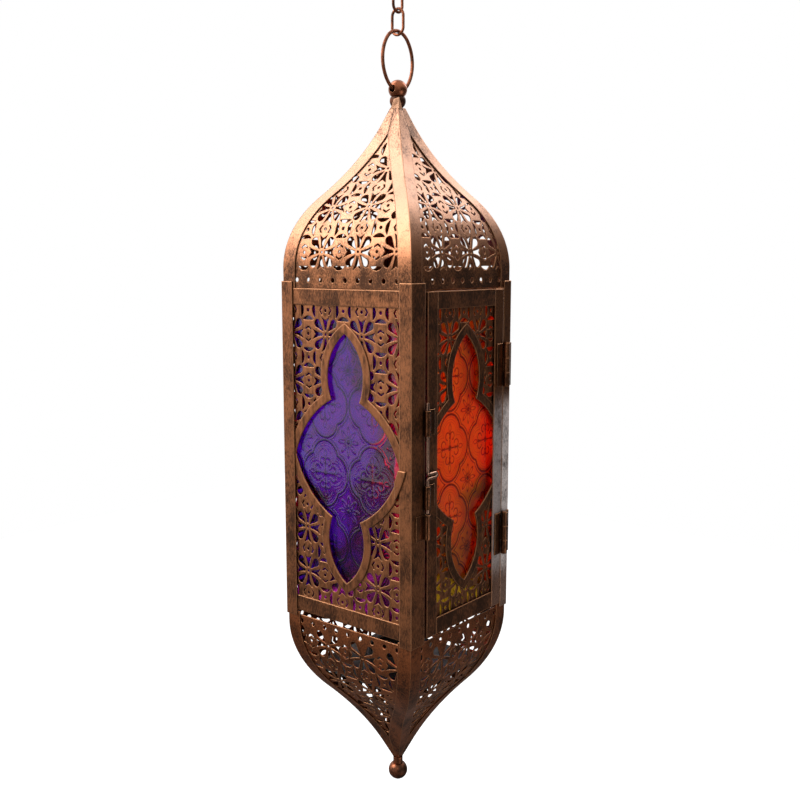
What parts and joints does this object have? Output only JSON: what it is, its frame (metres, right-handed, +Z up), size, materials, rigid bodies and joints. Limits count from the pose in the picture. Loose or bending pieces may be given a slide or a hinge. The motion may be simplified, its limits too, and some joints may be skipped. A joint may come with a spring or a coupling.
{
  "type": "hanging lantern",
  "caption": "Four-sided hanging fanous lantern of pierced antiqued copper with onion-shaped ends, coloured relief glass, a hinged door with a wire bolt, and a chain and hook.",
  "frame": {"origin": "inner crown of the hook's crook, where the lantern hangs", "axes": "+Z up along the lantern's axis, -Y out through the door, +X towards the door's hinge side"},
  "size_m": [0.1116, 0.1155, 0.5739],
  "materials": {
    "fittings": "antiqued copper",
    "frame": "antiqued copper, worn bright at the edges",
    "fretwork": "antiqued copper, dark patina",
    "glass_violet": "pressed relief",
    "glass_blue": "pressed relief",
    "glass_red": "pressed relief",
    "glass_amber": "pressed relief",
    "tin": "galvanised"
  },
  "bodies": {
    "hook": {"hanging_hook": "fittings"},
    "upper_link": {"chain_link_upper": "fittings"},
    "lower_link": {"chain_link_lower": "fittings"},
    "ring": {"hanging_ring": "fittings"},
    "lantern": {"top_ball": "fittings", "top_collar": "fittings", "hinge_post_leaves": "fittings", "hinge_pins": "fittings", "bolt_catch": "fittings", "base_collar": "fittings", "base_ball": "fittings", "dome_rib_front_left": "frame", "dome_rib_front_right": "frame", "dome_rib_back_right": "frame", "dome_rib_back_left": "frame", "post_front_left": "frame", "post_front_right": "frame", "post_back_right": "frame", "post_back_left": "frame", "base_rib_front_left": "frame", "base_rib_front_right": "frame", "base_rib_back_right": "frame", "base_rib_back_left": "frame", "left_rails": "frame", "back_rails": "frame", "right_rails": "frame", "left_window_band": "frame", "back_window_band": "frame", "right_window_band": "frame", "pane_clips": "frame", "dome_fret_front": "fretwork", "dome_fret_left": "fretwork", "dome_fret_back": "fretwork", "dome_fret_right": "fretwork", "left_fret": "fretwork", "back_fret": "fretwork", "right_fret": "fretwork", "base_fret_front": "fretwork", "base_fret_left": "fretwork", "base_fret_back": "fretwork", "base_fret_right": "fretwork", "left_pane": "glass_violet", "back_pane": "glass_blue", "right_pane": "glass_red", "candle_plate": "tin", "tealight_cup": "tin"},
    "door": {"door_latch_stile": "frame", "door_hinge_stile": "frame", "door_top_rail": "frame", "door_bottom_rail": "frame", "door_upper_fret": "fretwork", "door_lower_fret": "fretwork", "door_upper_band": "frame", "door_lower_band": "frame", "door_pane": "glass_amber", "door_pane_clips": "frame", "hinge_door_leaves": "fittings", "bolt_keepers": "fittings"},
    "bolt": {"slide_bolt": "fittings"}
  },
  "joints": [
    {"name": "upper_link_swing", "type": "hinge", "parent": "hook", "child": "upper_link", "pos_m": [0, 0, -0.0268], "axis": [0, 1, 0], "range_deg": [-30, 30]},
    {"name": "lower_link_swing", "type": "hinge", "parent": "upper_link", "child": "lower_link", "pos_m": [0, 0, -0.04063], "axis": [1, 0, 0], "range_deg": [-30, 30]},
    {"name": "ring_swing", "type": "hinge", "parent": "lower_link", "child": "ring", "pos_m": [0, 0, -0.05473], "axis": [0, 1, 0], "range_deg": [-30, 30]},
    {"name": "lantern_swing", "type": "hinge", "parent": "ring", "child": "lantern", "pos_m": [0, 0, -0.0891], "axis": [1, 0, 0], "range_deg": [-60, 60]},
    {"name": "door_hinge", "type": "hinge", "parent": "lantern", "child": "door", "pos_m": [0.047, -0.0575, -0.3293], "axis": [0, 0, 1], "range_deg": [0, 120]},
    {"name": "bolt_slide", "type": "slide", "parent": "door", "child": "bolt", "axis": [0, 0, 1], "range_m": [-0.0032, 0.012]}
  ]
}
